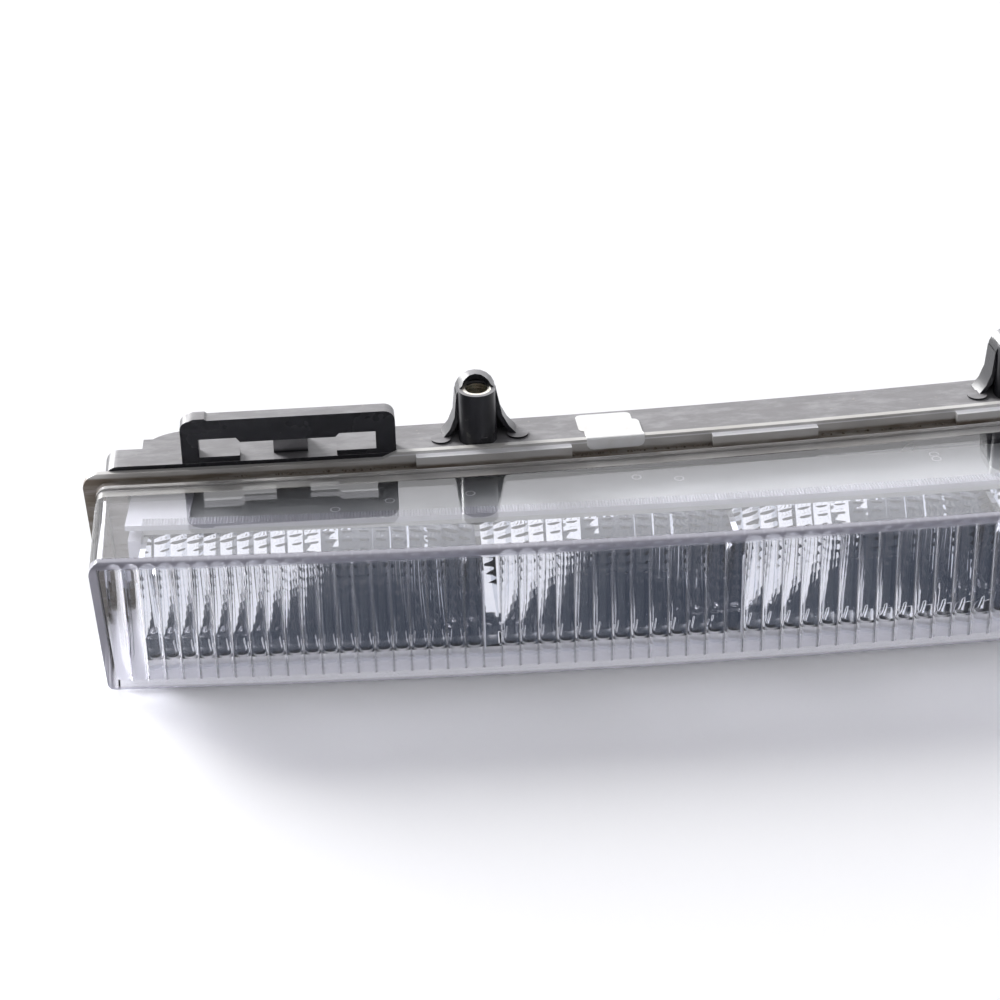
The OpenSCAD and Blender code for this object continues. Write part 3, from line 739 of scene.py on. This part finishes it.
def test_rings():
    """Plain printed rings at chosen places along the board, given as (along, behind the face)."""
    ring_places = [(-0.0995, 0.032), (-0.0855, 0.0354), (-0.0645, 0.0374), (-0.0205, 0.0414),
                   (-0.0095, 0.0394), (0.0595, 0.0429), (0.0595, 0.0404), (0.0945, 0.0396),
                   (0.121, 0.0402)]
    ink_lift = 0.00003
    flattened = (1.0, 1.0, 0.25)
    carrier = bpy.data.meshes.new("ring_places")
    carrier.from_pydata([at_face(s, d, board_top + ink_lift) for s, d in ring_places], [], [])
    ring = Pattern("test_rings", white_print(), radius=0.00115, line=0.00021)
    loop = ring.node("GeometryNodeCurvePrimitiveCircle", {},
                     {"Resolution": 28, "Radius": ring.size("radius")})
    stroke = ring.node("GeometryNodeCurvePrimitiveCircle", {},
                       {"Resolution": 6, "Radius": ring.size("line")})
    tube = ring.node("GeometryNodeCurveToMesh", {}, {0: loop, 1: stroke})
    flat = ring.node("GeometryNodeTransform", {}, {"Geometry": tube, "Scale": flattened})
    rings = ring.node("GeometryNodeInstanceOnPoints", {},
                      {"Points": ring.carrier, "Instance": flat})
    ring.grown(rings, carrier, "board")


dressed("led_board", "circuit_board", board_mask())
test_rings()

# LEDs
# Four ceramic packages under the board, each with a patch of phosphor, and a clear dome below it.


def led_ceramic():
    pack = Finish("led_ceramic")
    fine = pack.noise(2200.0, 2.0)
    below = (pack.place("Z") + (ring_z - board_z)).above(-0.00079, -0.0007)
    colour = pack.mix(below, (0.82, 0.58, 0.08), (0.86, 0.85, 0.8))
    colour = pack.mix(fine * 0.12, colour, (0.5, 0.4, 0.2))
    return pack.out(pack.gloss(Base_Color=colour, Roughness=0.35 + fine * 0.2))


def dome_silicone():
    dome = Finish("dome_silicone")
    haze = dome.noise(1500.0, 2.0)
    colour = dome.mix(haze.above(0.3, 0.7), (0.93, 0.88, 0.66), (0.96, 0.93, 0.78))
    return dome.out(dome.gloss(Base_Color=colour, Roughness=0.08 + haze * 0.06, Subsurface_Weight=0.4,
                               Subsurface_Scale=0.001, Coat_Weight=0.5))


ceramic = led_ceramic()
for number in range(1, 5):
    dressed(f"led_{number}", f"led_package_{number}", ceramic)
dressed("led_domes", "silicone_domes", dome_silicone(), 50.0)

# Chips and small parts
# Soldered under the back of the board: two driver chips in black epoxy and a row of brown ceramic
# capacitors.


def epoxy():
    case = Finish("epoxy")
    fine = case.noise(1800.0, 3.0)
    colour = case.mix(fine.above(0.3, 0.7), (0.016, 0.016, 0.017), (0.03, 0.03, 0.031))
    return case.out(case.gloss(Base_Color=colour, Roughness=0.5 + fine * 0.2,
                               Normal=case.bump(fine, 0.00002)))


def capacitor_brown():
    case = Finish("capacitor_brown")
    fine = case.noise(1200.0, 3.0)
    colour = case.mix(fine.above(0.35, 0.65), (0.24, 0.14, 0.075), (0.36, 0.23, 0.13))
    return case.out(case.gloss(Base_Color=colour, Roughness=0.35 + fine * 0.25))


dressed("driver_chips", "driver_chip_pair", epoxy())
dressed("board_parts", "capacitor_row", capacitor_brown())

# Plug socket
# Cream header on the board, three tinned-brass contacts pushed into it, and the orange silicone
# seal in the mouth of the socket.


def header_plastic():
    block = Finish("header_plastic")
    cloud = block.noise(180.0, 3.0)
    colour = block.mix(cloud.above(0.3, 0.7), (0.7, 0.66, 0.56), (0.78, 0.75, 0.66))
    return block.out(block.gloss(Base_Color=colour, Roughness=0.4 + cloud * 0.2))


def contact_brass():
    pin = Finish("contact_brass")
    drawn = pin.noise(1.0, 3.0, 0.6, pin.stretched((2600.0, 160.0, 2600.0)))
    colour = pin.mix(drawn.above(0.3, 0.7), (0.72, 0.55, 0.27), (0.83, 0.68, 0.4))
    return pin.out(pin.gloss(Base_Color=colour, Metallic=1.0, Roughness=0.18 + drawn * 0.2))


def silicone():
    rubber = Finish("silicone")
    cloud = rubber.noise(240.0, 3.0)
    colour = rubber.mix(cloud.above(0.3, 0.7), (0.5, 0.115, 0.028), (0.6, 0.16, 0.045))
    return rubber.out(rubber.gloss(Base_Color=colour, Roughness=0.5 + cloud * 0.2,
                                   Normal=rubber.bump(cloud, 0.00008)))


dressed("board_header", "header_block", header_plastic())
dressed("contact_pins", "brass_contacts", contact_brass())
dressed("connector_seal", "socket_seal", silicone())

# Screws
# Zinc-plated thread-forming screws: five small ones under the board and four from the back that
# hold the light unit on the housing's pillars.


def bright_zinc():
    plate = Finish("bright_zinc")
    mottle = plate.noise(520.0, 3.0)
    colour = plate.mix(mottle.above(0.3, 0.7), (0.36, 0.37, 0.39), (0.5, 0.5, 0.49))
    return plate.out(plate.gloss(Base_Color=colour, Metallic=1.0, Roughness=0.24 + mottle * 0.22))


zinc = bright_zinc()
dressed("board_screws", "board_screw_set", zinc)
dressed("unit_screws", "unit_screw_set", zinc)

# Vent
# Slotted black cap pressed on the back, over a white membrane that lets air through and no water.


def membrane_felt():
    felt = Finish("membrane_felt")
    fibre = felt.noise(2600.0, 4.0, 0.7)
    colour = felt.mix(fibre.above(0.3, 0.7), (0.7, 0.7, 0.68), (0.86, 0.86, 0.84))
    return felt.out(felt.gloss(Base_Color=colour, Roughness=0.85 + fibre * 0.1,
                               Normal=felt.bump(fibre, 0.00004)))


dressed("vent_cap", "vent_cap_black", nylon)
dressed("vent_membrane", "vent_felt", membrane_felt())

# Boss inserts
# Nickel-plated brass sleeves moulded into the two bosses, turned inside.


def nickel():
    sleeve = Finish("nickel")
    turned = sleeve.noise(1.0, 2.0, 0.5, sleeve.stretched((90.0, 90.0, 5200.0)))
    stain = sleeve.noise(330.0, 3.0)
    colour = sleeve.mix(stain.above(0.35, 0.75), (0.8, 0.77, 0.7), (0.62, 0.56, 0.46))
    return sleeve.out(sleeve.gloss(Base_Color=colour, Metallic=1.0, Roughness=0.16 + turned * 0.2,
                                   Normal=sleeve.bump(turned, 0.00004)))


plated = nickel()
dressed("insert_left", "sleeve_left", plated)
dressed("insert_right", "sleeve_right", plated)

# Stickers
# Two white paper stickers, one lapping over the other: the lower one lies on the housing's top, and
# the upper one runs from there over the lip and is folded down in front of it.


def sticker_paper():
    paper = Finish("sticker_paper")
    fibre = paper.noise(1700.0, 4.0, 0.7)
    soil = paper.noise(130.0, 3.0)
    colour = paper.mix(soil.above(0.45, 0.85), (0.9, 0.9, 0.9), (0.76, 0.74, 0.7))
    return paper.out(paper.gloss(Base_Color=colour, Roughness=0.45 + fibre * 0.2,
                                 Normal=paper.bump(fibre, 0.00001)))


def sticker(name, node, left, right, path, corner, lift):
    """A thin sheet with rounded corners along a path of (depth, height) points."""
    row_count, column_count = 57, 25
    proud, thick = 0.00004, 0.00008
    path = np.array(path)
    run = np.concatenate([[0.0], np.cumsum(np.hypot(*np.diff(path, axis=0).T))])
    places = np.linspace(0.0, run[-1], row_count)
    depth, height = (np.interp(places, run, path[:, k]) for k in (0, 1))
    smooth = np.array([0.25, 0.5, 0.25])
    for _ in range(2):
        depth[1:-1] = np.convolve(depth, smooth, "valid")
        height[1:-1] = np.convolve(height, smooth, "valid")
    gap = np.minimum(places, run[-1] - places)
    bite = np.sqrt(np.maximum(corner ** 2 - (corner - gap) ** 2, 0.0))
    inset = np.where(gap < corner, corner - bite, 0.0)
    front, back = [], []
    for d, z, cut in zip(depth, height, inset):
        row = [at_back(s, d, z) for s in np.linspace(left + cut, right - cut, column_count)]
        front.append([(p.x, p.y, p.z + lift) for p in row])
        back.append([(p.x, p.y + proud, p.z + lift - thick) for p in row])
    piece = closed_sheet(name, np.array(front), np.array(back), 50.0)
    piece.data.materials.append(paper_white)
    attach(piece, "root")
    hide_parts(node)


paper_white = sticker_paper()
on_top = [(lip_back + 0.0042, housing_top + 0.0001), (lip_back + 0.0134, housing_top + 0.0001)]
over_lip = [(lip_front - 0.0002, lens_h + 0.0012), (lip_front - 0.0002, lip_top - 0.0002),
            (lip_front + 0.0002, lip_top + 0.0001), (lip_back, lip_top + 0.0001),
            (lip_back + 0.0014, housing_top + 0.00014), (lip_back + 0.0092, housing_top + 0.00014)]
sticker("sticker_under", "label_lower", -0.034, -0.019, on_top, 0.0016, 0.00002)
sticker("sticker_over", "label_upper", -0.0328, -0.0174, over_lip, 0.0018, 0.00012)
